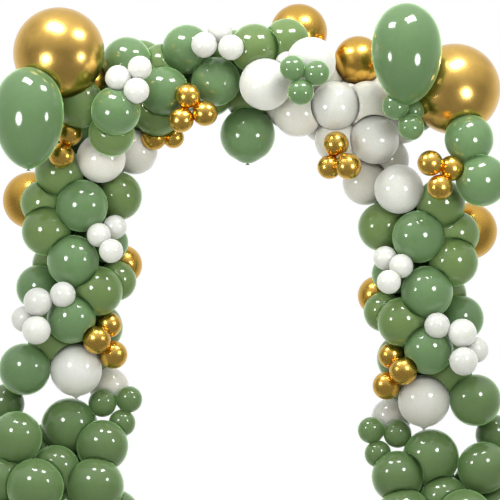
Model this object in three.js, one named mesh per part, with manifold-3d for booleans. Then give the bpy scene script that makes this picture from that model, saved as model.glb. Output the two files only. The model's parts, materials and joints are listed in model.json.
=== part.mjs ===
// Balloon garland: a free-standing balloon arch, 2.7 m high, of sage green, white and gold balloons.
// Millimetres, +Z up. The opening is looked through along +Y, with -Y the decorated front. The origin is
// on the floor, under the middle of the arch.
import * as THREE from 'three';
import Module from 'manifold-3d';
import { ConvexHull } from 'three/addons/math/ConvexHull.js';

const wasm = await Module();
wasm.setup();

// Radii of the blown balloons
const smallRadius = 64;
const plumpSmallRadius = 71;
const slackRadius = 100;
const modestRadius = 115;
const mediumRadius = 123;
const fullRadius = 130;
const footRadius = 143;
const hangingRadius = 138;
const giantRadius = 228;
const hiddenRadius = 124;

// Long balloons: half width, half height, and how much fuller the top is than the bottom
const ovalHalfWidth = 175;
const ovalHalfHeight = 252;
const ovalTopFullness = 0.09;

// How balloons meet
const squash = 0.06;
const frontSquash = 0.04;
const backDent = 0.78;
const frontStep = 0.12;
const touchingGap = 0.3;
const floorPress = 8;
const levelStep = 12;
const farthestShare = 0.75;
const sideBySide = 0.88;
const leastPress = 2;
const leastOverlap = 6;

// Necks that show: how wide and how long the drawn-out rubber is
const neckRadius = 13;
const neckLength = 6;
const ovalNeckLength = 3;
const neckSides = 5;
const neckRootAngle = 0.45;

// The arch: the left leg stands on one more row of balloons than the right leg
const legRise = 155;
const hiddenSpacing = 222;
const hiddenOffset = 98;
const hiddenRowFoot = 975;
const footRowTop = 335;
const footColumns = [[800, 1030], [915, 1145]];
const footRowSpacing = 180;
const legInside = 620;
const shoulderHeight = 1990;

// The hidden balloons are white at the upper right, and a gap is left open in the right shoulder
const whiteBeyond = 170;
const whiteAbove = 1800;
const gap = [855, 1970];
const gapRadius = 75;

// Places of sampled points on a solid: how many for each size, and how close two may be, in degrees
const pointsOnSmall = 14;
const pointsOnMedium = 17;
const pointsOnHidden = 11;
const pointsOnGiant = 50;
const nearestPoints = 26;
const nearestOnGiant = 11;
const nearestContacts = 20;
const nearestMates = 8;
const mostContacts = 1;
const footSides = 6;

// How many balloons are tied into one cluster, unless one is left over
const mostInCluster = 12;
const leastInCluster = 5;

function latex(name, color, roughness, metalness) {
  return new THREE.MeshStandardMaterial({ name, color, roughness, metalness });
}

const colours = {
  green: latex('sage_latex', 0x6d9a6b, 0.22, 0),
  white: latex('white_latex', 0xe9e8e4, 0.2, 0),
  gold: latex('gold_chrome_latex', 0xc9963c, 0.18, 1),
};

// One leg, from the back balloons to the front ones. Each balloon has its colour, its radius, its distance
// out from the middle of the arch, and its height on the lower leg.
const legBalloons = [
  ['back', 'green', slackRadius, 790, 800],
  ['back', 'green', slackRadius - 5, 1120, 690],
  ['ball', 'green', slackRadius, 1235, 545],
  ['ball', 'white', modestRadius, 580, 1815],
  ['back', 'gold', footRadius, 1100, 1570],
  ['ball', 'green', modestRadius, 1035, 1555],
  ['ball', 'white', slackRadius, 710, 630],
  ['cluster', 'green_small_trio_on_leg', 'green',
    [plumpSmallRadius, 741, 552], [smallRadius + 3, 608, 570], [smallRadius + 4, 643, 451]],
  ['ball', 'gold', slackRadius, 642, 1245],
  ['ball', 'green', modestRadius, 1000, 870],
  ['ball', 'green', mediumRadius, 665, 1590],
  ['ball', 'green', mediumRadius, 955, 1710],
  ['ball', 'green', mediumRadius, 1020, 1415],
  ['ball', 'green', slackRadius, 670, 1165],
  ['ball', 'green', mediumRadius, 760, 1115],
  ['ball', 'green', modestRadius, 1060, 1130],
  ['ball', 'green', slackRadius, 710, 1355],
  ['ball', 'white', mediumRadius, 745, 1780],
  ['ball', 'green', fullRadius, 841, 1541],
  ['ball', 'green', fullRadius, 886, 1265],
  ['ball', 'green', mediumRadius, 895, 975],
  ['ball', 'green', fullRadius, 1130, 722],
  ['ball', 'white', fullRadius, 872, 717],
  ['ball', 'green', mediumRadius, 1240, 180],
  ['ball', 'green', fullRadius, 1170, 383],
  ['ball', 'green', footRadius, 907, 433],
  ['ball', 'green', mediumRadius, 975, 220],
  ['ball', 'green', fullRadius, 740, 338],
  ['ball', 'green', footRadius, 1074, 135],
  ['ball', 'green', footRadius, 774, 138],
];

// The extra row under the raised leg: distance out, at floor height
const extraFootRow = [690, 924, 1160];

// Small clusters in front on each leg: the radius, the distance out and the height of each balloon
const legClusters = [
  ['cluster', 'white_small_trio_on_leg', 'white',
    [smallRadius - 4, 676, 1435], [smallRadius - 4, 755, 1395], [smallRadius - 4, 693, 1316]],
  ['cluster', 'white_small_cluster_on_leg', 'white',
    [smallRadius, 1130, 975], [plumpSmallRadius, 1060, 1061],
    [smallRadius, 935, 1098], [plumpSmallRadius, 1066, 920]],
  ['cluster', 'gold_small_trio_on_leg', 'gold',
    [smallRadius, 707, 945], [plumpSmallRadius, 685, 795], [plumpSmallRadius, 767, 870]],
];

// The top of the arch, from the back to the front: x and height over the floor
const topBalloons = [
  ['ball', 'green', slackRadius, 835, 2165],
  ['giant', 'giant_gold_balloon_right', 'gold', [giantRadius, 1025, 2280]],
  ['single', 'gold_balloon_behind_giant', 'gold', [slackRadius, -812, 2345]],
  ['single', 'gold_balloon_at_top', 'gold', [footRadius, 245, 2570]],
  ['cluster', 'gold_small_pair_under_corner', 'gold',
    [smallRadius - 10, -385, 2040], [smallRadius, -482, 2040]],
  ['cluster', 'gold_small_pair_at_left_shoulder', 'gold',
    [smallRadius, -900, 2058], [smallRadius, -941, 1946]],
  ['ball', 'green', mediumRadius, -850, 2205],
  ['ball', 'green', modestRadius, 183, 2520],
  ['ball', 'green', modestRadius, -440, 2395],
  ['ball', 'green', modestRadius, -465, 2160],
  ['ball', 'green', mediumRadius, -617, 2420],
  ['ball', 'green', mediumRadius, 22, 2485],
  ['single', 'white_small_balloon_at_top', 'white', [smallRadius, 190, 2405]],
  ['ball', 'green', mediumRadius, -317, 2482],
  ['ball', 'green', mediumRadius, -430, 2270],
  ['ball', 'green', modestRadius, -690, 2055],
  ['ball', 'green', mediumRadius, -668, 2167],
  ['ball', 'green', mediumRadius, -171, 2320],
  ['ball', 'white', mediumRadius, 240, 2165],
  ['ball', 'white', fullRadius, 77, 2303],
  ['ball', 'white', mediumRadius, 305, 2415],
  ['ball', 'white', mediumRadius, 590, 2200],
  ['ball', 'white', modestRadius, 440, 2025],
  ['ball', 'white', mediumRadius, 427, 2199],
  ['single', 'gold_balloon_beside_oval', 'gold', [mediumRadius, 545, 2428]],
  ['ball', 'white', mediumRadius, 625, 2030],
  ['ball', 'green', mediumRadius, 1093, 2028],
  ['ball', 'green', fullRadius, 1155, 1822],
  ['cluster', 'green_small_trio_under_oval', 'green',
    [smallRadius - 6, 810, 2170], [smallRadius + 3, 725, 2192], [smallRadius + 2, 802, 2087]],
  ['giant', 'giant_gold_balloon_left', 'gold', [giantRadius, -953, 2457]],
  ['oval', 'oval_green_balloon_left', 'green', [ovalHalfWidth, -1100, 2132]],
  ['oval', 'oval_green_balloon_right', 'green', [ovalHalfWidth, 780, 2453]],
  ['hanging', 'hanging_green_balloon', 'green', [hangingRadius, -12, 2055]],
  ['cluster', 'gold_small_trio_at_right_shoulder', 'gold',
    [smallRadius, 1003, 1882], [smallRadius, 897, 1907], [smallRadius, 945, 1787]],
  ['cluster', 'white_small_trio_at_corner', 'white',
    [smallRadius, -656, 2330], [smallRadius - 4, -548, 2381], [smallRadius, -564, 2267]],
  ['cluster', 'white_small_trio_at_top', 'white',
    [smallRadius - 2, -150, 2570], [smallRadius, -229, 2500], [smallRadius, -95, 2487]],
  ['cluster', 'gold_small_trio_at_top', 'gold',
    [smallRadius, -310, 2245], [smallRadius, -344, 2126], [smallRadius, -225, 2158]],
  ['cluster', 'green_small_trio_at_top', 'green',
    [smallRadius, 211, 2379], [smallRadius, 332, 2355], [smallRadius + 2, 252, 2261]],
  ['cluster', 'gold_small_trio_right_of_opening', 'gold',
    [smallRadius - 4, 397, 1890], [smallRadius, 431, 2005], [smallRadius + 2, 491, 1893]],
];

// The middle line that the hidden balloons behind the arch follow, as x and height
const hiddenLine = [
  [-860, hiddenRowFoot], [-860, 1850], [-725, 2200], [-350, 2355], [25, 2345],
  [400, 2235], [730, 2020], [850, 1700], [860, hiddenRowFoot - legRise],
];

// A balloon is a body of balls: one ball for a round balloon, a row of them for a long one
function roundBalloon(colour, radius, x, z, points) {
  return { colour, points, centre: new THREE.Vector3(x, 0, z), balls: [{ radius, rise: 0 }], radius };
}

// The largest balls that fit inside a long balloon at five levels
function ovalBalloon(colour, x, z) {
  const spread = ovalHalfHeight ** 2 - ovalHalfWidth ** 2;
  const balls = [-1, -0.5, 0, 0.5, 1].map((share) => {
    const rise = (share * spread) / ovalHalfHeight;
    const fit = ovalHalfWidth * Math.sqrt(1 - rise ** 2 / spread);
    return { radius: fit * (1 + (ovalTopFullness * rise) / ovalHalfHeight), rise };
  });
  const centre = new THREE.Vector3(x, 0, z);
  const radius = ovalHalfWidth;
  return { colour, points: pointsOnGiant, centre, balls, radius, oval: true, neck: ovalNeckLength };
}

// How far in front of another ball a ball has to lie, so that it keeps its round outline from the front
function stepInFront(ball, behind, across) {
  const reach = (ball.radius + behind.radius) * (1 - squash);
  if (across >= reach) return null;
  const dent = backDent * behind.radius * Math.min(1, ball.radius / behind.radius) ** 2;
  const dented = ball.radius * (1 - frontSquash) + behind.radius - dent;
  const shown = Math.max(frontStep * across, Math.sqrt(Math.max(dented ** 2 - across ** 2, 0)));
  return Math.min(Math.sqrt(reach ** 2 - across ** 2), shown);
}

// How far back one balloon can go before it presses on another, or on the plane at the back
function restingDepth(balloon, placed) {
  let depth = -balloon.radius;
  for (const ball of balloon.balls) {
    for (const other of placed) {
      for (const behind of other.balls) {
        const aside = balloon.centre.x - other.centre.x;
        const up = balloon.centre.z + ball.rise - other.centre.z - behind.rise;
        const step = stepInFront(ball, behind, Math.hypot(aside, up));
        if (step !== null) depth = Math.min(depth, other.centre.y - step);
      }
    }
  }
  return depth;
}

// A small cluster keeps its own arrangement: balloons beside each other are level, and one that
// covers another is in front of it. The whole cluster then rests on what is behind it.
function placeCluster(balloons, placed) {
  balloons.forEach((balloon, i) => {
    const steps = balloons.slice(0, i).map((mate) => {
      const across = Math.hypot(balloon.centre.x - mate.centre.x, balloon.centre.z - mate.centre.z);
      const reach = balloon.radius + mate.radius;
      if (across >= reach) return 0;
      if (across >= sideBySide * reach) return mate.centre.y;
      return mate.centre.y - Math.sqrt((reach * (1 - squash)) ** 2 - across ** 2);
    });
    balloon.centre.y = Math.min(0, ...steps);
  });
  const steps = balloons.map((balloon) => balloon.centre.y);
  const depth = Math.min(...balloons.map((balloon, i) => restingDepth(balloon, placed) - steps[i]));
  balloons.forEach((balloon, i) => {
    balloon.centre.y = depth + steps[i];
  });
}

// How far from a ball's centre the plane lies where it presses on another ball. Two that lie level share
// the dent, and otherwise the one in front keeps its shape and dents the one behind.
function pressShare(ball, other, distance, ahead) {
  const level = (distance ** 2 + ball.radius ** 2 - other.radius ** 2) / (2 * distance);
  if (Math.abs(ahead) < levelStep) return level;
  if (ahead < 0) return Math.max(level, Math.min(ball.radius * (1 - frontSquash), distance * farthestShare));
  return Math.min(level, Math.max(distance - other.radius * (1 - frontSquash), distance * (1 - farthestShare)));
}

// The plane where two balloons press on each other, or null where they don't reach each other
function contactPlane(balloon, other) {
  let deepest = null;
  for (const ball of balloon.balls) {
    for (const otherBall of other.balls) {
      const from = balloon.centre.clone().setZ(balloon.centre.z + ball.rise);
      const to = other.centre.clone().setZ(other.centre.z + otherBall.rise);
      const distance = from.distanceTo(to);
      const overlap = ball.radius + otherBall.radius - distance;
      if (overlap > -touchingGap && (!deepest || overlap > deepest.overlap)) {
        const normal = to.clone().sub(from).normalize();
        const share = pressShare(ball, otherBall, distance, from.y - to.y);
        const point = from.clone().addScaledVector(normal, share);
        deepest = { overlap, normal, point };
      }
    }
  }
  return deepest;
}

// The plane where a balloon that stands on the floor is pressed flat
function floorPlane(balloon) {
  const point = balloon.centre.clone().setZ(0);
  return { overlap: balloon.radius - balloon.centre.z, normal: new THREE.Vector3(0, 0, -1), point, floor: true };
}

// Where the unpressed rubber is, from the balloon's centre, in one direction of the unit ball
function surfacePoint(balloon, direction) {
  if (!balloon.oval) return direction.clone().multiplyScalar(balloon.radius);
  const width = ovalHalfWidth * (1 + ovalTopFullness * direction.z);
  return new THREE.Vector3(direction.x * width, direction.y * width, direction.z * ovalHalfHeight);
}

// The direction of the unit ball that a point on the balloon belongs to
function directionTo(balloon, offset) {
  if (!balloon.oval) return offset.clone().normalize();
  const flattened = new THREE.Vector3(offset.x, offset.y, (offset.z * ovalHalfWidth) / ovalHalfHeight);
  return flattened.normalize();
}

// Evenly spread directions, wound like the seeds of a sunflower
function spreadDirections(count) {
  const goldenAngle = Math.PI * (3 - Math.sqrt(5));
  return Array.from({ length: count }, (_, i) => {
    const along = 1 - (2 * i + 1) / count;
    const out = Math.sqrt(1 - along * along);
    return new THREE.Vector3(out * Math.cos(i * goldenAngle), along, out * Math.sin(i * goldenAngle));
  });
}

// Directions on a ring round an axis that points straight down
function ringBelow(angle, count) {
  return Array.from({ length: count }, (_, i) => {
    const turn = (2 * Math.PI * i) / count;
    const out = Math.sin(angle);
    return new THREE.Vector3(out * Math.cos(turn), out * Math.sin(turn), -Math.cos(angle));
  });
}

// The points of a drawn-out neck, hanging straight down, from the balloon's centre
function neckPoints(balloon) {
  const down = surfacePoint(balloon, new THREE.Vector3(0, 0, -1)).z;
  const root = ringBelow(neckRootAngle, neckSides).map((direction) => surfacePoint(balloon, direction));
  const lip = ringBelow(Math.PI / 2, neckSides).map((direction) => {
    return new THREE.Vector3(direction.x * neckRadius, direction.y * neckRadius, down - balloon.neck);
  });
  return [...root, ...lip, new THREE.Vector3(0, 0, down - balloon.neck - neckRadius / 2)];
}

// The closed, faceted solid of one balloon: points on its rubber, pushed in where it is pressed
function balloonSolid(balloon, planes) {
  const directions = [];
  const points = [];
  const keep = (direction, point, apart) => {
    if (directions.some((kept) => kept.angleTo(direction) < apart)) return;
    directions.push(direction);
    points.push(point);
  };
  for (const plane of planes.filter((candidate) => candidate.floor)) {
    const angle = Math.acos((balloon.radius - plane.overlap) / balloon.radius);
    const ring = [new THREE.Vector3(0, 0, -1), ...ringBelow(angle, footSides)];
    ring.forEach((direction) => keep(direction, surfacePoint(balloon, direction), 0));
  }
  if (balloon.neck) {
    neckPoints(balloon).forEach((point) => keep(point.clone().normalize(), point, 0));
  }
  const pressed = planes.filter((plane) => !plane.floor && plane.overlap > leastPress);
  const others = pressed.filter(({ mate }) => !mate).sort((one, two) => two.overlap - one.overlap);
  for (const plane of [...pressed.filter(({ mate }) => mate), ...others.slice(0, mostContacts)]) {
    const direction = directionTo(balloon, plane.point.clone().sub(balloon.centre));
    const apart = THREE.MathUtils.degToRad(plane.mate ? nearestMates : nearestContacts);
    keep(direction, surfacePoint(balloon, direction), apart);
  }
  const apart = THREE.MathUtils.degToRad(balloon.points === pointsOnGiant ? nearestOnGiant : nearestPoints);
  for (const direction of spreadDirections(balloon.points)) {
    keep(direction, surfacePoint(balloon, direction), apart);
  }
  for (const point of points) {
    for (const plane of planes) {
      if (plane.mate) continue;
      const out = plane.normal.dot(plane.point.clone().sub(balloon.centre)) - (plane.floor ? 0 : touchingGap / 2);
      const reach = plane.normal.dot(point);
      if (reach > out) point.multiplyScalar(out / reach);
    }
  }
  return { points, faces: facesBetween(directions) };
}

// The triangles that join neighbouring directions, as indices that turn outwards
function facesBetween(directions) {
  const index = new Map(directions.map((direction, i) => [direction, i]));
  const hull = new ConvexHull().setFromPoints(directions);
  return hull.faces.map((face) => {
    const corners = [face.edge, face.edge.next, face.edge.next.next];
    return corners.map((edge) => index.get(edge.head().point));
  });
}

function toManifold(solid) {
  return new wasm.Manifold(new wasm.Mesh({
    numProp: 3,
    vertProperties: new Float32Array(solid.points.flatMap((point) => point.toArray())),
    triVerts: new Uint32Array(solid.faces.flat()),
  }));
}

// One named mesh for balloons that are tied together, placed at the middle of them
function clusterMesh(name, cluster) {
  const middle = new THREE.Vector3();
  cluster.forEach((balloon) => middle.addScaledVector(balloon.centre, 1 / cluster.length));
  let joined = null;
  for (const balloon of cluster) {
    const planes = [];
    if (balloon.centre.z < balloon.radius) planes.push(floorPlane(balloon));
    for (const other of placed) {
      const plane = other === balloon ? null : contactPlane(balloon, other);
      if (plane) planes.push({ ...plane, mate: cluster.includes(other) });
    }
    const solid = balloonSolid(balloon, planes);
    const offset = balloon.centre.clone().sub(middle);
    solid.points.forEach((point) => point.add(offset));
    const body = toManifold(solid);
    joined = joined ? joined.add(body) : body;
  }
  const { vertProperties, triVerts } = joined.getMesh();
  const geometry = new THREE.BufferGeometry();
  geometry.setAttribute('position', new THREE.BufferAttribute(vertProperties, 3));
  geometry.setIndex(new THREE.BufferAttribute(triVerts, 1));
  geometry.computeVertexNormals();
  const mesh = new THREE.Mesh(geometry, colours[cluster[0].colour]);
  mesh.name = name;
  mesh.position.copy(middle);
  return mesh;
}

// Whether two balloons press on each other at a place that no third one pushes in
function joins(balloon, other) {
  const contact = balloon === other ? null : contactPlane(balloon, other);
  if (!contact || contact.overlap < leastOverlap) return false;
  return [balloon, other].every((one) => placed.every((third) => {
    if (third === balloon || third === other) return true;
    const plane = contactPlane(one, third);
    return !plane || plane.normal.dot(contact.point.clone().sub(plane.point)) < -leastPress;
  }));
}

// Balloons of one colour that press on each other are tied into clusters, the smallest ones first
function tieClusters(balloons) {
  const clusters = balloons.map((balloon) => [balloon]);
  const links = new Map();
  for (const balloon of balloons) links.set(balloon, balloons.filter((other) => joins(balloon, other)));
  const pressing = (one, two) => links.get(one).includes(two);
  const fits = (one, two) => {
    return one.length + two.length <= mostInCluster || Math.min(one.length, two.length) < leastInCluster;
  };
  const canTie = (one, two) => {
    if (one[0].colour !== two[0].colour || !fits(one, two)) return false;
    return one.some((balloon) => two.some((other) => pressing(balloon, other)));
  };
  for (;;) {
    let best = null;
    clusters.forEach((one, i) => clusters.slice(i + 1).forEach((two) => {
      const size = one.length + two.length;
      if (canTie(one, two) && (!best || size < best.size)) best = { one, two, size };
    }));
    if (!best) return clusters;
    best.one.push(...best.two);
    clusters.splice(clusters.indexOf(best.two), 1);
  }
}

const placed = [];
const loose = { left_leg: [], right_leg: [], top: [] };
const tied = [];

function rest(balloon) {
  balloon.centre.y = restingDepth(balloon, placed);
  placed.push(balloon);
  return balloon;
}

function atBack(balloon) {
  balloon.centre.y = -balloon.radius;
  placed.push(balloon);
  return balloon;
}

const legs = [
  { zone: 'left_leg', side: -1, rise: legRise, prefix: 'left_' },
  { zone: 'right_leg', side: 1, rise: 0, prefix: 'right_' },
];
const top = { zone: 'top', side: 1, rise: 0, prefix: '' };

// Places what a list names, from the back to the front, on one side of the arch
function placeAll(entries, part) {
  for (const [kind, ...entry] of entries) {
    if (kind === 'ball' || kind === 'back') {
      const [colour, radius, out, z] = entry;
      const balloon = roundBalloon(colour, radius, part.side * out, z + part.rise, pointsOnMedium);
      loose[part.zone].push(kind === 'back' ? atBack(balloon) : rest(balloon));
      continue;
    }
    const [name, colour, ...rows] = entry;
    const balloons = rows.map(([radius, out, z]) => {
      const x = part.side * out;
      if (kind === 'oval') return ovalBalloon(colour, x, z);
      const points = { cluster: pointsOnSmall, giant: pointsOnGiant }[kind] ?? pointsOnMedium;
      const balloon = roundBalloon(colour, radius, x, z + part.rise, points);
      if (kind === 'hanging') balloon.neck = neckLength;
      return balloon;
    });
    placeCluster(balloons, placed);
    placed.push(...balloons);
    tied.push([part.prefix + name, balloons]);
  }
}

// Hidden balloons: rows at the back of each foot, then two staggered rows behind the rest of the arch
function placeHidden() {
  const first = hiddenRadius - floorPress;
  for (const leg of legs) {
    const rows = Math.floor((footRowTop + leg.rise - first) / footRowSpacing) + 1;
    for (let row = 0; row < rows; row += 1) {
      for (const out of footColumns[row % footColumns.length]) {
        const z = first + row * footRowSpacing;
        loose[leg.zone].push(atBack(roundBalloon('green', hiddenRadius, leg.side * out, z, pointsOnHidden)));
      }
    }
  }
  const corners = hiddenLine.map(([x, z]) => new THREE.Vector3(x, 0, z));
  const line = new THREE.CatmullRomCurve3(corners, false, 'centripetal');
  const count = Math.ceil(line.getLength() / hiddenSpacing);
  for (let i = 0; i <= 2 * count; i += 1) {
    const share = i / (2 * count);
    const at = line.getPointAt(share);
    const ahead = line.getTangentAt(share);
    const offset = i % 2 ? hiddenOffset : -hiddenOffset;
    const x = at.x + ahead.z * offset;
    const z = at.z - ahead.x * offset;
    if (Math.hypot(x - gap[0], z - gap[1]) < gapRadius) continue;
    const leg = legs.find(({ side }) => side * x > legInside && z < shoulderHeight);
    const colour = x > whiteBeyond && z > whiteAbove ? 'white' : 'green';
    loose[(leg ?? top).zone].push(atBack(roundBalloon(colour, hiddenRadius, x, z, pointsOnHidden)));
  }
}

placeHidden();
for (const leg of legs) {
  if (leg.rise > 0) {
    const footHeight = footRadius - floorPress - leg.rise;
    placeAll(extraFootRow.map((out) => ['ball', 'green', footRadius, out, footHeight]), leg);
  }
  placeAll(legBalloons, leg);
}
placeAll(topBalloons, top);
for (const leg of legs) placeAll(legClusters, leg);

const garland = new THREE.Group();
for (const [zone, balloons] of Object.entries(loose)) {
  const counts = {};
  const height = (cluster) => Math.min(...cluster.map((balloon) => balloon.centre.z));
  const clusters = tieClusters(balloons).sort((one, two) => height(one) - height(two));
  for (const cluster of clusters) {
    const { colour } = cluster[0];
    counts[colour] = (counts[colour] ?? 0) + 1;
    garland.add(clusterMesh(`${zone}_${colour}_cluster_${counts[colour]}`, cluster));
  }
}
for (const [name, cluster] of tied) garland.add(clusterMesh(name, cluster));

// The origin goes to the floor, under the middle of the arch
const middle = new THREE.Box3().setFromObject(garland).getCenter(new THREE.Vector3());
for (const mesh of garland.children) mesh.position.sub(middle.setZ(0));

export default garland;
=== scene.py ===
"""A free-standing balloon arch of sage green, white and gold chrome latex, dressed over its solids."""

import json
import math

import bpy
import numpy as np
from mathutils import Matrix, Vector


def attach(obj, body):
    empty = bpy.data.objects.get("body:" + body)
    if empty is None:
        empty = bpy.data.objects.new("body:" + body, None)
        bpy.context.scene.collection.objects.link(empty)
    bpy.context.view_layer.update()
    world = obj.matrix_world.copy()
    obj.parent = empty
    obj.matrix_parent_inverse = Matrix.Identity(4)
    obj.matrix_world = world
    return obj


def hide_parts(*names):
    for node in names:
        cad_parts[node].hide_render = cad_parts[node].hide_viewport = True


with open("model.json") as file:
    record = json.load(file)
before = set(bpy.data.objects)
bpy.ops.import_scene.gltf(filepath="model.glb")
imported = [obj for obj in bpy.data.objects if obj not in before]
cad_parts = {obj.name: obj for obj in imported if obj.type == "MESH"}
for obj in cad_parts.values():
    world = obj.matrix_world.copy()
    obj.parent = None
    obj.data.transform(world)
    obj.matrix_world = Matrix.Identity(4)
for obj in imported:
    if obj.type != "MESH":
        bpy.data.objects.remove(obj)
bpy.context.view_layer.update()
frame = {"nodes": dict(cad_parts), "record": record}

MM = 0.001

# A corner of a solid within this many millimetres of a ball lies on it
ON_RUBBER = 0.05

# Radii of the blown balloons, in millimetres, as in the solids
SMALL = 64
PLUMP_SMALL = 71
SLACK = 100
MODEST = 115
MEDIUM = 123
FULL = 130
FOOT = 143
HANGING = 138
GIANT = 228
HIDDEN = 124

# Long balloons
OVAL_HALF_WIDTH = 175
OVAL_HALF_HEIGHT = 252
OVAL_TOP_FULLNESS = 0.09

# How the balloons rest on each other
SQUASH = 0.06
FRONT_SQUASH = 0.04
BACK_DENT = 0.78
FRONT_STEP = 0.12
SIDE_BY_SIDE = 0.88
FLOOR_PRESS = 8
LEVEL_STEP = 12
FLOOR_GAP = 0.0005

# How the rubber is pushed in: the margin in widths of a face, and the share of the radius it fades in over
PRESS_MARGIN = 1.4
PRESS_FADE = 0.3
PRESS_HALVINGS = 12

# The arch
LEG_RISE = 155
HIDDEN_SPACING = 222
HIDDEN_OFFSET = 98
HIDDEN_ROW_FOOT = 975
FOOT_ROW_TOP = 335
FOOT_COLUMNS = [[800, 1030], [915, 1145]]
FOOT_ROW_SPACING = 180

# The legs: the side they are on, how much higher their balloons lie, and how the names of their pieces start
LEGS = ((-1, LEG_RISE, "left_"), (1, 0, "right_"))

# The hidden balloons are white at the upper right, and a gap is left open in the right shoulder
WHITE_BEYOND = 170
WHITE_ABOVE = 1800
GAP = (855, 1970)
GAP_RADIUS = 75

# The dye: how far it varies from balloon to balloon, and how dark it is on the long balloons; and the painted
# shade at the feet: how dark and how warm the balloons below this height are made
DYE_SPREAD = 0.05
LONG_DYE = 0.86
FOOT_SHADE = 0.86
FOOT_SHADE_WARMTH = 0.55
FOOT_TOP = 760

# A balloon this far behind another, and this much of both radii across from it, is painted in the warmer
# colour as shade
COVERED_STEP = 20
COVERED_REACH = 0.85

# One leg, from the back balloons to the front ones: colour, radius, distance out and height on the lower leg
# A ball rests on what is behind it, a back one stands at the very back, and a necked one shows its neck
LEG_BALLOONS = [
    ("back", "green", SLACK, 790, 800),
    ("back", "green", SLACK - 5, 1120, 690),
    ("ball", "green", SLACK, 1235, 545),
    ("ball", "white", MODEST, 580, 1815),
    ("back", "gold", FOOT, 1100, 1570),
    ("ball", "green", MODEST, 1035, 1555),
    ("ball", "white", SLACK, 710, 630),
    ("cluster", "green_small_trio_on_leg", "green",
     (PLUMP_SMALL, 741, 552), (SMALL + 3, 608, 570), (SMALL + 4, 643, 451)),
    ("ball", "gold", SLACK, 642, 1245),
    ("ball", "green", MODEST, 1000, 870),
    ("ball", "green", MEDIUM, 665, 1590),
    ("ball", "green", MEDIUM, 955, 1710),
    ("ball", "green", MEDIUM, 1020, 1415),
    ("ball", "green", SLACK, 670, 1165),
    ("ball", "green", MEDIUM, 760, 1115),
    ("ball", "green", MODEST, 1060, 1130),
    ("ball", "green", SLACK, 710, 1355),
    ("ball", "white", MEDIUM, 745, 1780),
    ("ball", "green", FULL, 841, 1541),
    ("ball", "green", FULL, 886, 1265),
    ("ball", "green", MEDIUM, 895, 975),
    ("ball", "green", FULL, 1130, 722),
    ("necked", "white", FULL, 872, 717),
    ("ball", "green", MEDIUM, 1240, 180),
    ("ball", "green", FULL, 1170, 383),
    ("ball", "green", FOOT, 907, 433),
    ("ball", "green", MEDIUM, 975, 220),
    ("ball", "green", FULL, 740, 338),
    ("ball", "green", FOOT, 1074, 135),
    ("ball", "green", FOOT, 774, 138),
]

EXTRA_FOOT_ROW = [690, 924, 1160]

LEG_CLUSTERS = [
    ("cluster", "white_small_trio_on_leg", "white",
     (SMALL - 4, 676, 1435), (SMALL - 4, 755, 1395), (SMALL - 4, 693, 1316)),
    ("cluster", "white_small_cluster_on_leg", "white",
     (SMALL, 1130, 975), (PLUMP_SMALL, 1060, 1061), (SMALL, 935, 1098), (PLUMP_SMALL, 1066, 920)),
    ("cluster", "gold_small_trio_on_leg", "gold",
     (SMALL, 707, 945), (PLUMP_SMALL, 685, 795), (PLUMP_SMALL, 767, 870)),
]

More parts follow.
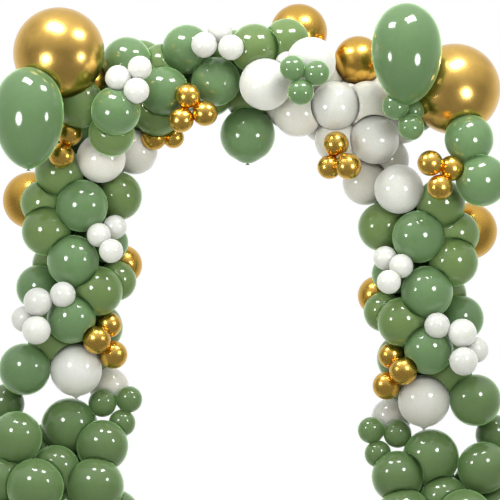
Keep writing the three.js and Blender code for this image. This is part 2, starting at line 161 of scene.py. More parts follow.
# The top of the arch, from the back to the front: x and height over the floor
TOP_BALLOONS = [
    ("ball", "green", SLACK, 835, 2165),
    ("giant", "giant_gold_balloon_right", "gold", (GIANT, 1025, 2280)),
    ("single", "gold_balloon_behind_giant", "gold", (SLACK, -812, 2345)),
    ("single", "gold_balloon_at_top", "gold", (FOOT, 245, 2570)),
    ("cluster", "gold_small_pair_under_corner", "gold",
     (SMALL - 10, -385, 2040), (SMALL, -482, 2040)),
    ("cluster", "gold_small_pair_at_left_shoulder", "gold",
     (SMALL, -900, 2058), (SMALL, -941, 1946)),
    ("ball", "green", MEDIUM, -850, 2205),
    ("ball", "green", MODEST, 183, 2520),
    ("ball", "green", MODEST, -440, 2395),
    ("ball", "green", MODEST, -465, 2160),
    ("ball", "green", MEDIUM, -617, 2420),
    ("ball", "green", MEDIUM, 22, 2485),
    ("single", "white_small_balloon_at_top", "white", (SMALL, 190, 2405)),
    ("ball", "green", MEDIUM, -317, 2482),
    ("ball", "green", MEDIUM, -430, 2270),
    ("ball", "green", MODEST, -690, 2055),
    ("ball", "green", MEDIUM, -668, 2167),
    ("ball", "green", MEDIUM, -171, 2320),
    ("ball", "white", MEDIUM, 240, 2165),
    ("ball", "white", FULL, 77, 2303),
    ("ball", "white", MEDIUM, 305, 2415),
    ("ball", "white", MEDIUM, 590, 2200),
    ("ball", "white", MODEST, 440, 2025),
    ("ball", "white", MEDIUM, 427, 2199),
    ("single", "gold_balloon_beside_oval", "gold", (MEDIUM, 545, 2428)),
    ("ball", "white", MEDIUM, 625, 2030),
    ("ball", "green", MEDIUM, 1093, 2028),
    ("ball", "green", FULL, 1155, 1822),
    ("cluster", "green_small_trio_under_oval", "green",
     (SMALL - 6, 810, 2170), (SMALL + 3, 725, 2192), (SMALL + 2, 802, 2087)),
    ("giant", "giant_gold_balloon_left", "gold", (GIANT, -953, 2457)),
    ("oval", "oval_green_balloon_left", "green", (OVAL_HALF_WIDTH, -1100, 2132)),
    ("oval", "oval_green_balloon_right", "green", (OVAL_HALF_WIDTH, 780, 2453)),
    ("hanging", "hanging_green_balloon", "green", (HANGING, -12, 2055)),
    ("cluster", "gold_small_trio_at_right_shoulder", "gold",
     (SMALL, 1003, 1882), (SMALL, 897, 1907), (SMALL, 945, 1787)),
    ("cluster", "white_small_trio_at_corner", "white",
     (SMALL, -656, 2330), (SMALL - 4, -548, 2381), (SMALL, -564, 2267)),
    ("cluster", "white_small_trio_at_top", "white",
     (SMALL - 2, -150, 2570), (SMALL, -229, 2500), (SMALL, -95, 2487)),
    ("cluster", "gold_small_trio_at_top", "gold",
     (SMALL, -310, 2245), (SMALL, -344, 2126), (SMALL, -225, 2158)),
    ("cluster", "green_small_trio_at_top", "green",
     (SMALL, 211, 2379), (SMALL, 332, 2355), (SMALL + 2, 252, 2261)),
    ("cluster", "gold_small_trio_right_of_opening", "gold",
     (SMALL - 4, 397, 1890), (SMALL, 431, 2005), (SMALL + 2, 491, 1893)),
]

# The middle line that the hidden balloons follow, as x and height
HIDDEN_LINE = [
    (-860, HIDDEN_ROW_FOOT), (-860, 1850), (-725, 2200), (-350, 2355), (25, 2345),
    (400, 2235), (730, 2020), (850, 1700), (860, HIDDEN_ROW_FOOT - LEG_RISE),
]
LINE_STEPS = 200
LINE_NUDGE = 0.0001

# The middle line of the whole garland, which the necks point to, lies this deep
TIE_DEPTH = -210
TIE_STEPS = 60

# How fine the balloons are: segments round and rings from tip to neck
FINE = {"hidden": (36, 22), "small": (48, 32), "round": (60, 40), "giant": (112, 72)}

# Necks that show: length in millimetres, and how far round the balloon the rubber is drawn in, in radians
HANGING_NECK = (6, 0.7)
OVAL_NECK = (3, 0.26)
LEG_NECK = (8, 0.16)
NECK_RADIUS = 9
KNOT_RADIUS = 10
KNOT_HALF_HEIGHT = 5.5
KNOT_RISE = 4
KNOT_RINGS = 12
KNOT_SEGMENTS = 28
LIP_RADIUS = 11

# How straight a neck runs, and its pleats: number, depth, where they start and how soon they are full
NECK_STRAIGHTNESS = 0.75
PLEATS = 14
PLEAT_DEPTH = 0.04
PLEAT_START = 0.3
PLEAT_FADE = 0.4

# The straight view from the front, in metres
VIEW_WIDTH = 2.48
VIEW_HEIGHT_MIDDLE = 1.475
CAMERA_DISTANCE = 42.0
SENSOR_WIDTH = 36.0

# How thick the rubber is left, from the neck at 0 to the tip at 1
THICKNESS = [(0.0, 1.0), (0.12, 0.35), (0.3, 0.0), (0.985, 0.0), (1.0, 0.4)]

# The grain and the swell of the skin, and how much brighter than the rubber its haze is
GRAIN_FINENESS = 260.0
GRAIN_CONTRAST = 0.1
SWELL_FINENESS = 14.0
HAZE_TINT = 5.4

# The floor reaches this far to the sides and the front, and this far back, in metres
FLOOR_REACH = 25
FLOOR_BACK = 7


class Balloon:
    """One balloon: its latex, its size, where its centre is, and the balls that fit inside it."""

    def __init__(self, colour, radius, x, z, fineness):
        self.colour = colour
        self.radius = radius
        self.centre = np.array([x, 0.0, z], float)
        self.balls = [(radius, 0.0)]
        self.fineness = fineness
        self.size = np.array([radius, radius, radius], float)
        self.fullness = 0.0
        self.neck = None
        self.tip = None
        self.node = None
        self.dye_and_shade = [1.0, 0.0, 0.0]


def long_balloon(colour, x, z):
    """A long balloon, fuller at the top, with the balls that fit inside it."""
    balloon = Balloon(colour, OVAL_HALF_WIDTH, x, z, "giant")
    spread = OVAL_HALF_HEIGHT ** 2 - OVAL_HALF_WIDTH ** 2
    balloon.balls = []
    for share in (-1, -0.5, 0, 0.5, 1):
        rise = share * spread / OVAL_HALF_HEIGHT
        fit = OVAL_HALF_WIDTH * math.sqrt(1 - rise ** 2 / spread)
        balloon.balls.append((fit * (1 + OVAL_TOP_FULLNESS * rise / OVAL_HALF_HEIGHT), rise))
    balloon.size = np.array([OVAL_HALF_WIDTH, OVAL_HALF_WIDTH, OVAL_HALF_HEIGHT], float)
    balloon.fullness = OVAL_TOP_FULLNESS
    balloon.neck = OVAL_NECK
    balloon.tip = np.array([0.0, 0.0, 1.0])
    return balloon


def step_in_front(radius, behind, across):
    """How far in front of a ball another has to lie, so that it keeps its round outline."""
    reach = (radius + behind) * (1 - SQUASH)
    if across >= reach:
        return None
    dent = BACK_DENT * behind * min(1, radius / behind) ** 2
    dented = radius * (1 - FRONT_SQUASH) + behind - dent
    shown = max(FRONT_STEP * across, math.sqrt(max(dented ** 2 - across ** 2, 0)))
    return min(math.sqrt(reach ** 2 - across ** 2), shown)


def resting_depth(balloon, placed):
    """How far forward a balloon lies when it rests on all those that are already placed."""
    depth = -float(balloon.radius)
    for radius, rise in balloon.balls:
        for other in placed:
            for behind, other_rise in other.balls:
                aside = balloon.centre[0] - other.centre[0]
                up = balloon.centre[2] + rise - other.centre[2] - other_rise
                step = step_in_front(radius, behind, math.hypot(aside, up))
                if step is not None:
                    depth = min(depth, other.centre[1] - step)
    return depth


def place_cluster(balloons, placed):
    """Balloons tied as a cluster, level or one in front of another, which rests on what is behind it."""
    for i, balloon in enumerate(balloons):
        steps = [0.0]
        for mate in balloons[:i]:
            across = math.hypot(balloon.centre[0] - mate.centre[0], balloon.centre[2] - mate.centre[2])
            reach = balloon.radius + mate.radius
            if across >= reach:
                steps.append(0.0)
            elif across >= SIDE_BY_SIDE * reach:
                steps.append(mate.centre[1])
            else:
                steps.append(mate.centre[1] - math.sqrt((reach * (1 - SQUASH)) ** 2 - across ** 2))
        balloon.centre[1] = min(steps)
    steps = [balloon.centre[1] for balloon in balloons]
    depth = min(resting_depth(balloon, placed) - step for balloon, step in zip(balloons, steps))
    for balloon, step in zip(balloons, steps):
        balloon.centre[1] = depth + step


def place_all(entries, placed, side, rise, prefix):
    """Places the balloons of a list, on their side of the arch and raised with their leg."""
    for kind, *entry in entries:
        if kind in ("ball", "back", "necked"):
            colour, radius, out, z = entry
            balloon = Balloon(colour, radius, side * out, z + rise, "round")
            if kind == "necked":
                balloon.neck = LEG_NECK
                balloon.tip = np.array([0.0, 0.0, 1.0])
            balloon.centre[1] = -radius if kind == "back" else resting_depth(balloon, placed)
            placed.append(balloon)
            continue
        name, colour, *rows = entry
        balloons = []
        for radius, out, z in rows:
            if kind == "oval":
                balloon = long_balloon(colour, side * out, z)
            else:
                fineness = {"cluster": "small", "giant": "giant"}.get(kind, "round")
                balloon = Balloon(colour, radius, side * out, z + rise, fineness)
            if kind == "hanging":
                balloon.neck = HANGING_NECK
                balloon.tip = np.array([0.0, 0.0, 1.0])
            balloon.node = prefix + name
            balloons.append(balloon)
        place_cluster(balloons, placed)
        placed.extend(balloons)


def covered(balloon, everyone):
    """Whether a large balloon lies in front of this one."""
    for other in everyone:
        ahead = balloon.centre[1] - other.centre[1]
        across = math.hypot(balloon.centre[0] - other.centre[0], balloon.centre[2] - other.centre[2])
        near = across < COVERED_REACH * (balloon.radius + other.radius)
        if near and ahead > COVERED_STEP * MM and other.fineness != "small":
            return True
    return False


def curve_point(share):
    """A point on the smooth line of the hidden balloons, share of the way by its own parameter."""
    points = [np.array(point, float) for point in HIDDEN_LINE]
    last = len(points) - 1
    place = last * share
    i = int(math.floor(place))
    weight = place - i
    if i == last:
        i, weight = last - 1, 1.0
    one, two = points[i], points[i + 1]
    before = points[i - 1] if i > 0 else 2 * points[0] - points[1]
    after = points[i + 2] if i + 2 <= last else 2 * points[last] - points[last - 1]
    gaps = [float(np.sum((b - a) ** 2)) ** 0.25 for a, b in ((before, one), (one, two), (two, after))]
    out = (one - before) / gaps[0] - (two - before) / (gaps[0] + gaps[1]) + (two - one) / gaps[1]
    back = (two - one) / gaps[1] - (after - one) / (gaps[1] + gaps[2]) + (after - two) / gaps[2]
    out, back = out * gaps[1], back * gaps[1]
    third = -3 * one + 3 * two - 2 * out - back
    fourth = 2 * one - 2 * two + out + back
    return one + out * weight + third * weight ** 2 + fourth * weight ** 3


def hidden_line_places():
    """Evenly spaced points and directions along the hidden balloons' line."""
    samples = [curve_point(i / LINE_STEPS) for i in range(LINE_STEPS + 1)]
    spans = [np.linalg.norm(after - before) for before, after in zip(samples, samples[1:])]
    lengths = np.concatenate([[0.0], np.cumsum(spans)])
    count = math.ceil(lengths[-1] / HIDDEN_SPACING)
    for i in range(2 * count + 1):
        at = float(np.interp(i / (2 * count) * lengths[-1], lengths, np.arange(LINE_STEPS + 1))) / LINE_STEPS
        ahead = curve_point(min(at + LINE_NUDGE, 1.0)) - curve_point(max(at - LINE_NUDGE, 0.0))
        yield i, curve_point(at), ahead / np.linalg.norm(ahead)


def place_hidden(placed):
    """The rows of the feet, and two staggered rows of plain balloons at the back of the whole arch."""
    first = HIDDEN - FLOOR_PRESS
    for side, rise, _ in LEGS:
        rows = math.floor((FOOT_ROW_TOP + rise - first) / FOOT_ROW_SPACING) + 1
        for row in range(rows):
            for out in FOOT_COLUMNS[row % 2]:
                placed.append(Balloon("green", HIDDEN, side * out, first + row * FOOT_ROW_SPACING, "hidden"))
    for i, at, ahead in hidden_line_places():
        offset = HIDDEN_OFFSET if i % 2 else -HIDDEN_OFFSET
        x, z = at[0] + ahead[1] * offset, at[1] - ahead[0] * offset
        if math.hypot(x - GAP[0], z - GAP[1]) < GAP_RADIUS:
            continue
        colour = "white" if x > WHITE_BEYOND and z > WHITE_ABOVE else "green"
        placed.append(Balloon(colour, HIDDEN, x, z, "hidden"))
    for balloon in placed:
        balloon.centre[1] = -HIDDEN


def arrange():
    """All balloons of the arch, from the back to the front."""
    placed = []
    place_hidden(placed)
    for side, rise, prefix in LEGS:
        if rise:
            row = [("ball", "green", FOOT, out, FOOT - FLOOR_PRESS - rise) for out in EXTRA_FOOT_ROW]
            place_all(row, placed, side, rise, prefix)
        place_all(LEG_BALLOONS, placed, side, rise, prefix)
    place_all(TOP_BALLOONS, placed, 1, 0, "")
    for side, rise, prefix in LEGS:
        place_all(LEG_CLUSTERS, placed, side, rise, prefix)
    return placed


def corners_of(node):
    """The corners of a solid, each of them once."""
    mesh = frame["nodes"][node].data
    corners = np.empty(len(mesh.vertices) * 3)
    mesh.vertices.foreach_get("co", corners)
    return np.unique(corners.reshape(-1, 3).round(6), axis=0)


def settle_in_frame(balloons):
    """Turns millimetres into metres, and moves the balloons to where the solids stand."""
    hanging = next(balloon for balloon in balloons if balloon.node == "hanging_green_balloon")
    corners = corners_of("hanging_green_balloon")
    lowest = corners[np.argmin(corners[:, 2])]
    shift = lowest[:2] - hanging.centre[:2] * MM
    for balloon in balloons:
        balloon.centre *= MM
        balloon.centre[:2] += shift
        balloon.size *= MM
        balloon.radius *= MM
        balloon.balls = [(radius * MM, rise * MM) for radius, rise in balloon.balls]
    return shift


def find_nodes(balloons):
    """Each loose balloon belongs to the solid that has the most corners on its rubber."""
    colour_of = {"green_latex": "green", "white_latex": "white", "gold_chrome_latex": "gold"}
    named = {balloon.node for balloon in balloons if balloon.node}
    loose = {}
    for part in frame["record"]["subparts"]:
        if part["node"] not in named:
            colour = colour_of[part["material_slot"]]
            loose.setdefault(colour, []).append((part["node"], corners_of(part["node"])))
    for balloon in balloons:
        if balloon.node:
            continue
        found = []
        for node, corners in loose[balloon.colour]:
            off = np.abs(np.linalg.norm(corners - balloon.centre, axis=1) - balloon.radius)
            found.append((int(np.sum(off < ON_RUBBER * MM)), node))
        balloon.node = max(found)[1]


def point_necks_inwards(balloons, shift):
    """A neck that doesn't show points to the middle of the arch, where the balloons are tied."""
    line = np.array([curve_point(i / TIE_STEPS) for i in range(TIE_STEPS + 1)]) * MM
    for balloon in balloons:
        if balloon.tip is not None:
            continue
        x, z = balloon.centre[0] - shift[0], balloon.centre[2]
        nearest = line[np.argmin((line[:, 0] - x) ** 2 + (line[:, 1] - z) ** 2)]
        height = min(z, nearest[1]) if z < HIDDEN_ROW_FOOT * MM else nearest[1]
        tie = np.array([nearest[0], TIE_DEPTH * MM, height])
        out = np.array([x, balloon.centre[1] - shift[1], z]) - tie
        balloon.tip = out / max(np.linalg.norm(out), 1e-6)


def balloon_cluster_tree():
    """Blows up one balloon on each point: a ball, fuller at the top, turned so that its tip points out."""
    tree = bpy.data.node_groups.new("balloon_cluster", "GeometryNodeTree")
    kinds = {"Points": "NodeSocketGeometry", "Segments": "NodeSocketInt", "Rings": "NodeSocketInt",
             "Fullness": "NodeSocketFloat", "Latex": "NodeSocketMaterial"}
    for name, kind in kinds.items():
        tree.interface.new_socket(name, in_out="INPUT", socket_type=kind)
    tree.interface.new_socket("Cluster", in_out="OUTPUT", socket_type="NodeSocketGeometry")
    make, link = tree.nodes.new, tree.links.new
    given = make("NodeGroupInput")
    result = make("NodeGroupOutput")
    ball = make("GeometryNodeMeshUVSphere")
    link(given.outputs["Segments"], ball.inputs["Segments"])
    link(given.outputs["Rings"], ball.inputs["Rings"])
    position = make("GeometryNodeInputPosition")
    lobe = make("GeometryNodeStoreNamedAttribute")
    lobe.data_type = "FLOAT_VECTOR"
    lobe.inputs["Name"].default_value = "lobe"
    link(ball.outputs["Mesh"], lobe.inputs["Geometry"])
    link(position.outputs["Position"], lobe.inputs["Value"])
    apart = make("ShaderNodeSeparateXYZ")
    link(position.outputs["Position"], apart.inputs["Vector"])
    wider = make("ShaderNodeMath")
    wider.operation = "MULTIPLY_ADD"
    wider.inputs[2].default_value = 1.0
    link(apart.outputs["Z"], wider.inputs[0])
    link(given.outputs["Fullness"], wider.inputs[1])
    together = make("ShaderNodeCombineXYZ")
    together.inputs["Z"].default_value = 1.0
    link(wider.outputs[0], together.inputs["X"])
    link(wider.outputs[0], together.inputs["Y"])
    fuller = make("ShaderNodeVectorMath")
    fuller.operation = "MULTIPLY"
    link(position.outputs["Position"], fuller.inputs[0])
    link(together.outputs["Vector"], fuller.inputs[1])
    shaped = make("GeometryNodeSetPosition")
    link(lobe.outputs["Geometry"], shaped.inputs["Geometry"])
    link(fuller.outputs["Vector"], shaped.inputs["Position"])
    size = make("GeometryNodeInputNamedAttribute")
    size.data_type = "FLOAT_VECTOR"
    size.inputs["Name"].default_value = "size"
    tip = make("GeometryNodeInputNamedAttribute")
    tip.data_type = "FLOAT_VECTOR"
    tip.inputs["Name"].default_value = "tip"
    turned = make("FunctionNodeAlignRotationToVector")
    turned.axis = "Z"
    link(tip.outputs["Attribute"], turned.inputs["Vector"])
    blown = make("GeometryNodeInstanceOnPoints")
    link(given.outputs["Points"], blown.inputs["Points"])
    link(shaped.outputs["Geometry"], blown.inputs["Instance"])
    link(turned.outputs["Rotation"], blown.inputs["Rotation"])
    link(size.outputs["Attribute"], blown.inputs["Scale"])
    real = make("GeometryNodeRealizeInstances")
    link(blown.outputs["Instances"], real.inputs["Geometry"])
    smooth = make("GeometryNodeSetShadeSmooth")
    link(real.outputs["Geometry"], smooth.inputs["Geometry"])
    finish = make("GeometryNodeSetMaterial")
    link(smooth.outputs["Geometry"], finish.inputs["Geometry"])
    link(given.outputs["Latex"], finish.inputs["Material"])
    link(finish.outputs["Geometry"], result.inputs["Cluster"])
    return tree


def blow_up(name, balloons, fineness, latex, tree):
    """A plain mesh with the balloons of one solid that are made equally fine."""
    segments, rings = FINE[fineness]
    points = bpy.data.meshes.new(name)
    points.from_pydata([tuple(balloon.centre) for balloon in balloons], [], [])
    size = points.attributes.new("size", "FLOAT_VECTOR", "POINT")
    size.data.foreach_set("vector", np.concatenate([balloon.size for balloon in balloons]))
    tip = points.attributes.new("tip", "FLOAT_VECTOR", "POINT")
    tip.data.foreach_set("vector", np.concatenate([balloon.tip for balloon in balloons]))
    maker = bpy.data.objects.new(name, points)
    bpy.context.scene.collection.objects.link(maker)
    blowing = maker.modifiers.new("balloons", "NODES")
    blowing.node_group = tree
    given = {"Segments": segments, "Rings": rings, "Fullness": balloons[0].fullness, "Latex": latex}
    for item in tree.interface.items_tree:
        if item.in_out == "INPUT" and item.name in given:
            blowing[item.identifier] = given[item.name]
    mesh = bpy.data.meshes.new_from_object(maker.evaluated_get(bpy.context.evaluated_depsgraph_get()))
    bpy.data.objects.remove(maker)
    return mesh, segments * (rings - 1) + 2


def inside(balloon, points, margin, in_front):
    """Which points lie inside a balloon by more than the margin, or before it where it is in front."""
    local = points - balloon.centre
    level = np.clip(local[:, 2] / balloon.size[2], -1, 1)
    width = balloon.size[0] * (1 + balloon.fullness * level)
    behind = np.maximum(local[:, 1], 0) if in_front else local[:, 1]
    upright = local[:, 2] / balloon.size[2]
    share = np.sqrt((local[:, 0] / width) ** 2 + (behind / width) ** 2 + upright ** 2)
    cover = np.clip(local[:, 1] / (PRESS_FADE * balloon.radius), 0, 1) if in_front else 1.0
    return share < 1 - margin * cover / balloon.radius


def press(balloon, points, neighbours):
    """Pushes the rubber in where a neighbour presses on it, just under the neighbour's own rubber."""
    segments = FINE[balloon.fineness][0]
    margin = PRESS_MARGIN * 2 * math.pi * balloon.radius / segments
    for other in neighbours:
        ahead = balloon.centre[1] - other.centre[1]
        if ahead < -LEVEL_STEP * MM:
            continue
        in_front = ahead > LEVEL_STEP * MM
        sunk = np.flatnonzero(inside(other, points, margin, in_front))
        if not len(sunk):
            continue
        out = points[sunk] - balloon.centre
        low, high = np.full(len(sunk), 0.1), np.ones(len(sunk))
        for _ in range(PRESS_HALVINGS):
            middle = (low + high) / 2
            within = inside(other, balloon.centre + out * middle[:, None], margin, in_front)
            high = np.where(within, middle, high)
            low = np.where(within, low, middle)
        points[sunk] = balloon.centre + out * low[:, None]
    floor = points[:, 2] < FLOOR_GAP
    points[floor, 2] = FLOOR_GAP


def draw_neck(balloon, points):
    """Draws the rubber round the bottom of a balloon in to a short pleated neck."""
    length, spread = balloon.neck
    unit = (points - balloon.centre) / balloon.size
    unit /= np.linalg.norm(unit, axis=1)[:, None]
    angle = np.arccos(np.clip(-unit[:, 2], -1, 1))
    near = np.flatnonzero(angle < spread)
    turn = np.arctan2(unit[near, 1], unit[near, 0])
    share = 1 - angle[near] / spread
    edge_width = balloon.size[0] * math.sin(spread) * (1 - balloon.fullness * math.cos(spread))
    edge_height = -balloon.size[2] * math.cos(spread)
    end = -balloon.size[2] - length * MM
    neck = NECK_RADIUS * MM
    straight = 1 - share
    taper = straight * NECK_STRAIGHTNESS + (1 - NECK_STRAIGHTNESS) * straight ** 2
    width = neck + (edge_width - neck) * taper
    fall = balloon.size[2] * math.sin(spread) * spread
    ease = 2 * share ** 3 - 3 * share ** 2 + 1
    height = ease * edge_height + (1 - ease) * end - fall * (share ** 3 - 2 * share ** 2 + share)
    width = np.where(share > 0.999, 0.0, width)
    width *= 1 + PLEAT_DEPTH * np.clip((share - PLEAT_START) / PLEAT_FADE, 0, 1) * np.cos(PLEATS * turn)
    points[near] = balloon.centre + np.stack([width * np.cos(turn), width * np.sin(turn), height], axis=1)


def turned_mesh(profile, segments, place):
    """A closed form turned round the upright axis, from its top point to its bottom point."""
    rings = profile[1:-1]
    turns = np.arange(segments) * 2 * math.pi / segments
    corners = [np.array([[0.0, 0.0, profile[0][1]]])]
    for width, height in rings:
        level = np.full(segments, height)
        corners.append(np.stack([width * np.cos(turns), width * np.sin(turns), level], axis=1))
    corners.append(np.array([[0.0, 0.0, profile[-1][1]]]))
    faces = []
    last = 1 + len(rings) * segments
    for i in range(segments):
        j = (i + 1) % segments
        faces.append((0, 1 + i, 1 + j))
        for ring in range(len(rings) - 1):
            upper, lower = 1 + ring * segments, 1 + (ring + 1) * segments
            faces.append((upper + i, lower + i, lower + j, upper + j))
        faces.append((last - segments + j, last - segments + i, last))
    return np.concatenate(corners) * MM + place, faces


def knot(balloon):
    """The tied knot under a neck, and the rolled lip that spreads under the knot."""
    lowest = balloon.centre - np.array([0.0, 0.0, balloon.size[2] + (balloon.neck[0] - KNOT_RISE) * MM])
    tied = [(0, 5)]
    for i in range(1, KNOT_RINGS):
        angle = math.pi * i / KNOT_RINGS
        tied.append((KNOT_RADIUS * math.sin(angle), KNOT_HALF_HEIGHT * math.cos(angle)))
    tied.append((0, -KNOT_HALF_HEIGHT))
    lip = [(0, -2), (4, -3), (6, -7), (LIP_RADIUS - 2, -10), (LIP_RADIUS, -10.5)]
    lip += [(LIP_RADIUS + 1, -11.5), (LIP_RADIUS, -12.6), (LIP_RADIUS - 2, -12.4), (4, -10.5), (0, -10)]
    return [turned_mesh(tied, KNOT_SEGMENTS, lowest), turned_mesh(lip, KNOT_SEGMENTS, lowest)]


def join_meshes(name, parts, latex):
    """One mesh from several, each given as corners, faces and the two attributes of its latex."""
    corners = np.concatenate([part["corners"] for part in parts])
    loops, sizes, start = [], [], 0
    for part in parts:
        loops.append(part["loops"] + start)
        sizes.append(part["sizes"])
        start += len(part["corners"])
    loops, sizes = np.concatenate(loops), np.concatenate(sizes)
    mesh = bpy.data.meshes.new(name)
    mesh.vertices.add(len(corners))
    mesh.vertices.foreach_set("co", corners.astype(np.float32).ravel())
    mesh.loops.add(len(loops))
    mesh.loops.foreach_set("vertex_index", loops.astype(np.int32))
    mesh.polygons.add(len(sizes))
    mesh.polygons.foreach_set("loop_start", np.concatenate([[0], np.cumsum(sizes)[:-1]]).astype(np.int32))
    mesh.polygons.foreach_set("use_smooth", np.ones(len(sizes), bool))
    for note in ("lobe", "dye_and_shade"):
        attribute = mesh.attributes.new(note, "FLOAT_VECTOR", "POINT")
        values = np.concatenate([part[note] for part in parts])
        attribute.data.foreach_set("vector", values.astype(np.float32).ravel())
    mesh.materials.append(latex)
    mesh.update(calc_edges=True)
    mesh.validate()
    return mesh


def parts_of(mesh, balloons, each, everyone):
    """The corners and faces of freshly blown balloons, pressed where they touch and drawn out at the neck."""
    corners = np.empty(len(mesh.vertices) * 3)
    mesh.vertices.foreach_get("co", corners)
    corners = corners.reshape(-1, 3)
    lobe = np.empty(len(mesh.vertices) * 3)
    mesh.attributes["lobe"].data.foreach_get("vector", lobe)
    loops = np.empty(len(mesh.loops), np.int64)
    mesh.loops.foreach_get("vertex_index", loops)
    sizes = np.empty(len(mesh.polygons), np.int64)
    mesh.polygons.foreach_get("loop_total", sizes)
    for i, balloon in enumerate(balloons):
        own = corners[i * each:(i + 1) * each]
        if balloon.neck:
            draw_neck(balloon, own)
        reach = max(balloon.size)
        near = [other for other in everyone if other is not balloon
                and np.linalg.norm(other.centre - balloon.centre) < reach + max(other.size)]
        press(balloon, own, near)
    dye_and_shade = np.repeat([balloon.dye_and_shade for balloon in balloons], each, axis=0)
    parts = [{"corners": corners, "loops": loops, "sizes": sizes, "lobe": lobe.reshape(-1, 3), "dye_and_shade": dye_and_shade}]
    for balloon in balloons:
        if not balloon.neck:
            continue
        for knot_corners, faces in knot(balloon):
            parts.append({
                "corners": knot_corners,
                "loops": np.array([corner for face in faces for corner in face]),
                "sizes": np.array([len(face) for face in faces]),
                "lobe": np.tile([0.0, 0.0, -1.0], (len(knot_corners), 1)),
                "dye_and_shade": np.tile(balloon.dye_and_shade, (len(knot_corners), 1)),
            })
    return parts


def dress(node, balloons, everyone, latex, tree):
    """The smooth balloons that stand for one solid."""
    parts = []
    for fineness in FINE:
        alike = [balloon for balloon in balloons if balloon.fineness == fineness]
        if not alike:
            continue
        mesh, each = blow_up("blown_" + node, alike, fineness, latex, tree)
        parts += parts_of(mesh, alike, each, everyone)
        bpy.data.meshes.remove(mesh)
    piece = bpy.data.objects.new("latex_" + node, join_meshes("latex_" + node, parts, latex))
    bpy.context.scene.collection.objects.link(piece)
    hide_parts(node)
    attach(piece, "root")


def worked_out(tree, operation, *values):
    """One sum on numbers and on what other nodes give."""
    node = tree.nodes.new("ShaderNodeMath")
    node.operation = operation
    for socket, value in zip(node.inputs, values):
        if isinstance(value, float):
            socket.default_value = value
        else:
            tree.links.new(value, socket)
    return node.outputs[0]


def between(tree, value, low, high, start, end):
    """Turns a value from low to high into one from start to end."""
    node = tree.nodes.new("ShaderNodeMapRange")
    node.inputs["From Min"].default_value = low
    node.inputs["From Max"].default_value = high
    node.inputs["To Min"].default_value = start
    node.inputs["To Max"].default_value = end
    tree.links.new(value, node.inputs["Value"])
    return node.outputs["Result"]


def mixed(tree, factor, one, other):
    """A colour between two, each given as a colour or by another node."""
    mix = tree.nodes.new("ShaderNodeMix")
    mix.data_type = "RGBA"
    for name, colour in (("A", one), ("B", other)):
        if isinstance(colour, tuple):
            mix.inputs[name].default_value = (*colour, 1)
        else:
            tree.links.new(colour, mix.inputs[name])
    tree.links.new(factor, mix.inputs["Factor"])
    return mix.outputs["Result"]


def noted(tree, name):
    """The three numbers that the mesh notes for each balloon under this name."""
    note = tree.nodes.new("ShaderNodeAttribute")
    note.attribute_name = name
    apart = tree.nodes.new("ShaderNodeSeparateXYZ")
    tree.links.new(note.outputs["Vector"], apart.inputs["Vector"])
    return apart.outputs


def uneven(tree, place, fineness, detail):
    """Uneven values over the balloons, in a finer pattern where the fineness is higher."""
    noise = tree.nodes.new("ShaderNodeTexNoise")
    noise.inputs["Scale"].default_value = fineness
    noise.inputs["Detail"].default_value = detail
    tree.links.new(place, noise.inputs["Vector"])
    return noise.outputs["Fac"]


def rubber_thickness(tree):
    """How thick the rubber is, from where the place lies between the neck and the tip."""
    ramp = tree.nodes.new("ShaderNodeValToRGB")
    ramp.color_ramp.interpolation = "EASE"
    elements = ramp.color_ramp.elements
    while len(elements) < len(THICKNESS):
        elements.new(0.5)
    for element, (position, value) in zip(elements, THICKNESS):
        element.position = position
        element.color = (value, value, value, 1)
    level = worked_out(tree, "MULTIPLY_ADD", noted(tree, "lobe")["Z"], 0.5, 0.5)
    tree.links.new(level, ramp.inputs["Fac"])
    return ramp.outputs["Color"]


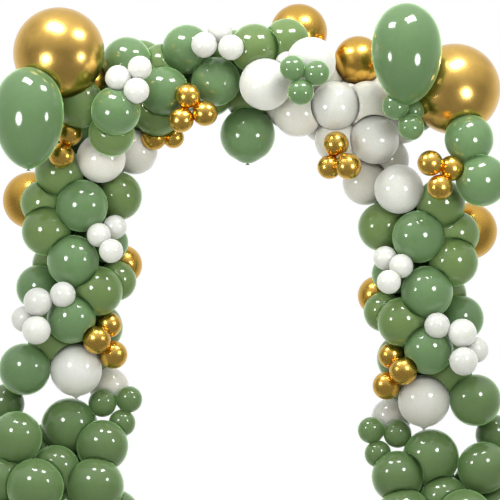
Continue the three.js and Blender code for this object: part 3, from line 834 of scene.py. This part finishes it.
def latex_material(name, stretched, behind, thick, gloss, metal=0.0, depth=0.0, haze=0.0, mottle=0.05,
                   cloud=9.0, wrinkle=0.0):
    """Blown latex: lighter where it is stretched thin, deeper at the tip and the neck, with a fine grain."""
    material = bpy.data.materials.new(name)
    material.use_nodes = True
    tree = material.node_tree
    shader = tree.nodes["Principled BSDF"]
    place = tree.nodes.new("ShaderNodeTexCoord").outputs["Object"]
    dye_and_shade = noted(tree, "dye_and_shade")
    grain = uneven(tree, place, GRAIN_FINENESS, 3.0)

    # Painted shade: a balloon behind others, and one at the feet, is mixed toward the warmer colour given as
    # behind
    shade_tinted = mixed(tree, dye_and_shade["Y"], stretched, behind)
    colour = mixed(tree, rubber_thickness(tree), shade_tinted, thick)
    clouds = worked_out(tree, "MULTIPLY_ADD", uneven(tree, place, cloud, 5.0), 2 * mottle, 1.0 - mottle)
    # The dye's strength also holds the painted shade that darkens the feet
    strength = worked_out(tree, "MULTIPLY", clouds, dye_and_shade["X"])
    speckles = between(tree, grain, 0.3, 0.7, 1.0 - GRAIN_CONTRAST, 1.0 + GRAIN_CONTRAST)
    shade = tree.nodes.new("ShaderNodeVectorMath")
    shade.operation = "SCALE"
    tree.links.new(colour, shade.inputs["Vector"])
    tree.links.new(worked_out(tree, "MULTIPLY", strength, speckles), shade.inputs["Scale"])
    tree.links.new(shade.outputs["Vector"], shader.inputs["Base Color"])

    rough = worked_out(tree, "MULTIPLY_ADD", grain, 0.08, gloss - 0.04)
    tree.links.new(rough, shader.inputs["Roughness"])
    swell = uneven(tree, place, SWELL_FINENESS, 2.0)
    bump = tree.nodes.new("ShaderNodeBump")
    bump.inputs["Strength"].default_value = 0.35
    bump.inputs["Distance"].default_value = 0.0006 + 0.002 * wrinkle
    tree.links.new(worked_out(tree, "MULTIPLY_ADD", grain, 0.06, swell), bump.inputs["Height"])
    tree.links.new(bump.outputs["Normal"], shader.inputs["Normal"])

    shader.inputs["Metallic"].default_value = metal
    shader.inputs["Subsurface Weight"].default_value = depth
    shader.inputs["Subsurface Radius"].default_value = (0.9, 1.0, 0.7)
    shader.inputs["Subsurface Scale"].default_value = 0.09 * depth
    shader.inputs["Specular IOR Level"].default_value = 0.7
    shader.inputs["Sheen Weight"].default_value = haze
    shader.inputs["Sheen Roughness"].default_value = 0.3
    shader.inputs["Sheen Tint"].default_value = (*[min(1.0, HAZE_TINT * value) for value in stretched], 1)
    return material


def area_light(name, place, aim, width, height, power, shape="RECTANGLE", mirrored=True):
    """A lamp of this size, aimed at a point, which glossy latex shows only where it is mirrored."""
    data = bpy.data.lights.new(name, "AREA")
    data.shape = shape
    data.size = width
    data.size_y = height
    data.energy = power
    lamp = bpy.data.objects.new(name, data)
    lamp.visible_glossy = mirrored
    lamp.location = place
    lamp.rotation_euler = (Vector(aim) - Vector(place)).to_track_quat("-Z", "Y").to_euler()
    bpy.context.scene.collection.objects.link(lamp)


def surrounding_light():
    """White light from behind and above, dimmer from in front, before a plain white backdrop."""
    world = bpy.data.worlds.new("studio")
    bpy.context.scene.world = world
    world.use_nodes = True
    tree = world.node_tree
    background = tree.nodes["Background"]
    apart = tree.nodes.new("ShaderNodeSeparateXYZ")
    tree.links.new(tree.nodes.new("ShaderNodeTexCoord").outputs["Generated"], apart.inputs["Vector"])
    ray = tree.nodes.new("ShaderNodeLightPath")
    behind = between(tree, apart.outputs["Y"], -0.1, 0.85, 0.3, 1.0)
    weaker = between(tree, ray.outputs["Is Glossy Ray"], 0.0, 1.0, 2.0, 0.9)
    above = between(tree, apart.outputs["Z"], -0.2, 0.85, 0.08, 0.85)
    light = worked_out(tree, "MAXIMUM", worked_out(tree, "MULTIPLY", behind, weaker), above)
    backdrop = tree.nodes.new("ShaderNodeMix")
    backdrop.data_type = "FLOAT"
    backdrop.inputs["B"].default_value = 1.0
    tree.links.new(ray.outputs["Is Camera Ray"], backdrop.inputs["Factor"])
    tree.links.new(light, backdrop.inputs["A"])
    tree.links.new(backdrop.outputs["Result"], background.inputs["Strength"])
    background.inputs["Color"].default_value = (1, 1, 1, 1)


def pale_floor():
    """A plain floor that ends a little behind the arch, so that the straight view has a white ground."""
    mesh = bpy.data.meshes.new("floor")
    corners = [(-FLOOR_REACH, -FLOOR_REACH, 0), (FLOOR_REACH, -FLOOR_REACH, 0),
               (FLOOR_REACH, FLOOR_BACK, 0), (-FLOOR_REACH, FLOOR_BACK, 0)]
    mesh.from_pydata(corners, [], [(0, 1, 2, 3)])
    pale = bpy.data.materials.new("pale_floor")
    pale.use_nodes = True
    shader = pale.node_tree.nodes["Principled BSDF"]
    shader.inputs["Base Color"].default_value = (0.62, 0.61, 0.58, 1)
    shader.inputs["Roughness"].default_value = 0.6
    mesh.materials.append(pale)
    ground = bpy.data.objects.new("floor", mesh)
    ground.visible_glossy = False
    bpy.context.scene.collection.objects.link(ground)


def studio():
    """Softboxes in front and overhead on each side, and a large scrim far in front that isn't mirrored."""
    surrounding_light()
    for side in (-1, 1):
        front, over = (2.0 * side, -1.9, 1.87), (1.15 * side, -1.0, 4.3)
        area_light(f"softbox_front_{side}", front, (0, -0.3, 1.5), 0.72, 0.72, 24, shape="ELLIPSE")
        area_light(f"softbox_over_{side}", over, (0.6 * side, -0.3, 1.5), 1.1, 0.6, 50)
    area_light("scrim", (0, -6.5, 4.3), (0, -0.3, 1.4), 5.0, 2.0, 148, mirrored=False)
    pale_floor()


def camera(middle):
    """A long lens, far in front of the middle of the arch."""
    data = bpy.data.cameras.new("camera")
    data.sensor_width = SENSOR_WIDTH
    data.lens = SENSOR_WIDTH * CAMERA_DISTANCE / VIEW_WIDTH
    data.clip_end = 200.0
    eye = bpy.data.objects.new("camera", data)
    eye.location = (middle, -CAMERA_DISTANCE - 0.3, VIEW_HEIGHT_MIDDLE)
    eye.rotation_euler = (math.pi / 2, 0, 0)
    bpy.context.scene.collection.objects.link(eye)
    bpy.context.scene.camera = eye


def dye_and_shade_balloons(balloons):
    """Gives each balloon its strength of dye and its painted shade: a warmer colour where it lies behind
    others, and a darker, warmer colour at the feet.
    """
    draw = np.random.default_rng(7)
    for balloon in balloons:
        strength = float(draw.uniform(1 - DYE_SPREAD, 1 + DYE_SPREAD))
        # Painted shade: a balloon behind others takes the warmer colour
        warmth = float(covered(balloon, balloons))
        # Painted shade: the balloons at the feet are made darker and warmer
        if balloon.centre[2] < FOOT_TOP * MM:
            strength *= FOOT_SHADE
            warmth = FOOT_SHADE_WARMTH
        if balloon.fullness:
            strength = LONG_DYE
        balloon.dye_and_shade = [strength, warmth, 0.0]


balloons = arrange()
shift = settle_in_frame(balloons)
find_nodes(balloons)
point_necks_inwards(balloons, shift)
dye_and_shade_balloons(balloons)
camera(shift[0])
studio()

# Each latex: the colour where it is stretched thin, the warmer colour painted as shade on balloons behind
# others and at the feet, and the colour where it is thick
latex = {
    "green": latex_material(
        "sage_green_latex", (0.103, 0.182, 0.075), (0.114, 0.18, 0.056), (0.08, 0.16, 0.05),
        0.11, depth=0.2, haze=1.0, mottle=0.07
    ),
    "white": latex_material(
        "white_latex", (0.555, 0.563, 0.525), (0.59, 0.586, 0.525), (0.52, 0.52, 0.45),
        0.14, depth=0.6, haze=1.0, mottle=0.02
    ),
    "gold": latex_material(
        "gold_chrome_latex", (0.8, 0.5, 0.1), (0.76, 0.46, 0.09), (0.45, 0.25, 0.04),
        0.26, metal=1.0, mottle=0.06
    ),
}
giant_gold = latex_material(
    "giant_gold_chrome_latex", (0.8, 0.51, 0.13), (0.8, 0.51, 0.13), (0.5, 0.3, 0.07),
    0.25, metal=1.0, mottle=0.16, cloud=16.0, wrinkle=0.6
)
tree = balloon_cluster_tree()
for node in sorted({balloon.node for balloon in balloons}):
    own = [balloon for balloon in balloons if balloon.node == node]
    skin = giant_gold if node.startswith("giant") else latex[own[0].colour]
    dress(node, own, balloons, skin, tree)

bpy.context.scene.view_settings.view_transform = "Standard"
